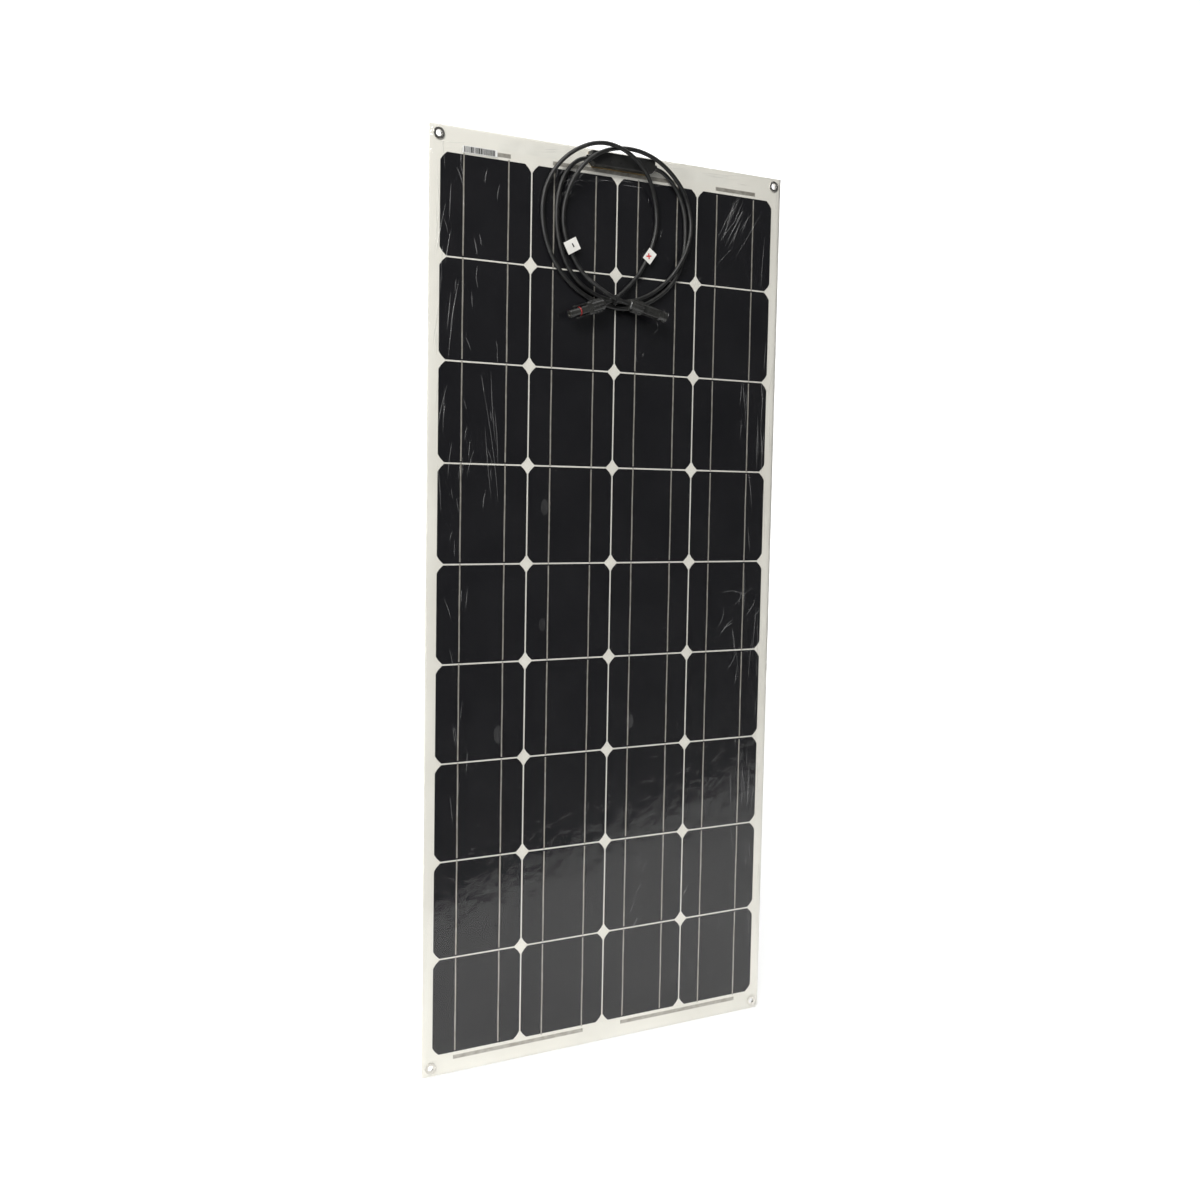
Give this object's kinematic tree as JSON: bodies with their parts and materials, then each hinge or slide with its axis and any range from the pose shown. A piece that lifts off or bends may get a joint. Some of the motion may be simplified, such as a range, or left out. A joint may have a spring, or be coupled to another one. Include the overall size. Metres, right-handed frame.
{
  "type": "flexible solar sheet",
  "caption": "Thin flexible solar sheet with dark square cells, corner eyelets, a slim junction box and two coiled leads ending in mating cable connectors.",
  "frame": {"origin": "middle of the four eyelets, on the back plane of the sheet", "axes": "+X across the sheet to the right as seen from the cell side, +Y out of the back, +Z along the sheet towards the junction box"},
  "size_m": [0.535, 0.0321, 1.2058],
  "materials": {
    "backsheet": "matte white polymer backsheet",
    "support_board": "matte fibre-filled board",
    "clear_encapsulant": "clear rubbery encapsulant",
    "silicon_cell": "dark blue-black anti-reflection coated silicon",
    "tinned_ribbon": "solder-coated copper",
    "front_film": "clear glossy polymer film",
    "peel_film": "clear thin wrinkled film",
    "insulation": "white insulating film",
    "nickel": "nickel-plated brass",
    "label": "white paper with plain dark bars",
    "black_rubber": "soft black rubber",
    "amber_sealant": "translucent amber adhesive",
    "box_plastic": "satin black plastic",
    "diode_body": "matte black epoxy",
    "cable_jacket": "satin black jacket",
    "tag_film": "white film tag",
    "tie_plastic": "black nylon",
    "contact_metal": "tin-plated copper",
    "red_rubber": "red silicone rubber",
    "connector_plastic": "satin black moulded plastic"
  },
  "bodies": {
    "top": {"backsheet_top": "backsheet", "bypass_diodes": "diode_body", "cable_collar_left": "box_plastic", "cable_collar_right": "box_plastic", "cable_negative": "cable_jacket", "cable_positive": "cable_jacket", "cells_top": "silicon_cell", "coil_tie": "tie_plastic", "eyelet_washers_top": "nickel", "eyelets_top": "nickel", "front_encapsulant_top": "clear_encapsulant", "front_film_top": "front_film", "insulation_strip": "insulation", "junction_box_base": "box_plastic", "junction_box_gasket": "black_rubber", "junction_box_lid": "box_plastic", "junction_box_sealant": "amber_sealant", "output_leads": "tinned_ribbon", "peel_film_top": "peel_film", "pin_cable_seal": "black_rubber", "pin_contact": "contact_metal", "pin_housing": "connector_plastic", "rear_encapsulant_top": "clear_encapsulant", "serial_label": "label", "socket_cable_seal": "black_rubber", "socket_contact": "contact_metal", "socket_housing": "connector_plastic", "socket_o_ring": "red_rubber", "support_board_top": "support_board", "tabbing_ribbons_top": "tinned_ribbon", "tag_negative": "tag_film", "tag_positive": "tag_film", "terminal_rails": "tinned_ribbon", "top_link_ribbons": "tinned_ribbon"},
    "middle": {"backsheet_middle": "backsheet", "cells_middle": "silicon_cell", "front_encapsulant_middle": "clear_encapsulant", "front_film_middle": "front_film", "peel_film_middle": "peel_film", "rear_encapsulant_middle": "clear_encapsulant", "support_board_middle": "support_board", "tabbing_ribbons_middle": "tinned_ribbon"},
    "bottom": {"backsheet_bottom": "backsheet", "cells_bottom": "silicon_cell", "eyelet_washers_bottom": "nickel", "eyelets_bottom": "nickel", "front_encapsulant_bottom": "clear_encapsulant", "front_film_bottom": "front_film", "peel_film_bottom": "peel_film", "rear_encapsulant_bottom": "clear_encapsulant", "support_board_bottom": "support_board", "tabbing_ribbons_bottom": "tinned_ribbon", "bottom_link_ribbons": "tinned_ribbon"},
    "pin_nut": {"pin_cap_nut": "connector_plastic"},
    "socket_nut": {"socket_cap_nut": "connector_plastic"},
    "finger_upper": {"latch_finger_upper": "connector_plastic"},
    "finger_lower": {"latch_finger_lower": "connector_plastic"}
  },
  "joints": [
    {"name": "flex_upper", "type": "hinge", "parent": "top", "child": "middle", "pos_m": [0, -0.00129, 0.188], "axis": [1, 0, 0], "range_deg": [-15, 15], "stiffness_Nm_per_rad": 6},
    {"name": "flex_lower", "type": "hinge", "parent": "middle", "child": "bottom", "pos_m": [0, -0.00129, -0.193], "axis": [1, 0, 0], "range_deg": [-15, 15], "stiffness_Nm_per_rad": 6},
    {"name": "pin_nut_turn", "type": "hinge", "parent": "top", "child": "pin_nut", "pos_m": [0.0085, -0.0224, 0.4029], "axis": [0.9746, 0, -0.224], "range_deg": [-540, 0]},
    {"name": "socket_nut_turn", "type": "hinge", "parent": "top", "child": "socket_nut", "pos_m": [-0.028, -0.018, 0.4003], "axis": [-0.9453, 0, -0.3263], "range_deg": [-540, 0]},
    {"name": "latch_upper", "type": "hinge", "parent": "top", "child": "finger_upper", "pos_m": [-0.0548, -0.018, 0.39887], "axis": [0, -1, 0], "range_deg": [0, 4], "stiffness_Nm_per_rad": 0.5},
    {"name": "latch_lower", "type": "hinge", "parent": "top", "child": "finger_lower", "pos_m": [-0.04997, -0.018, 0.38488], "axis": [0, 1, 0], "range_deg": [0, 4], "stiffness_Nm_per_rad": 0.5}
  ],
  "couplings": [
    {"joint": "flex_lower", "follows": "flex_upper", "ratio": 1}
  ]
}
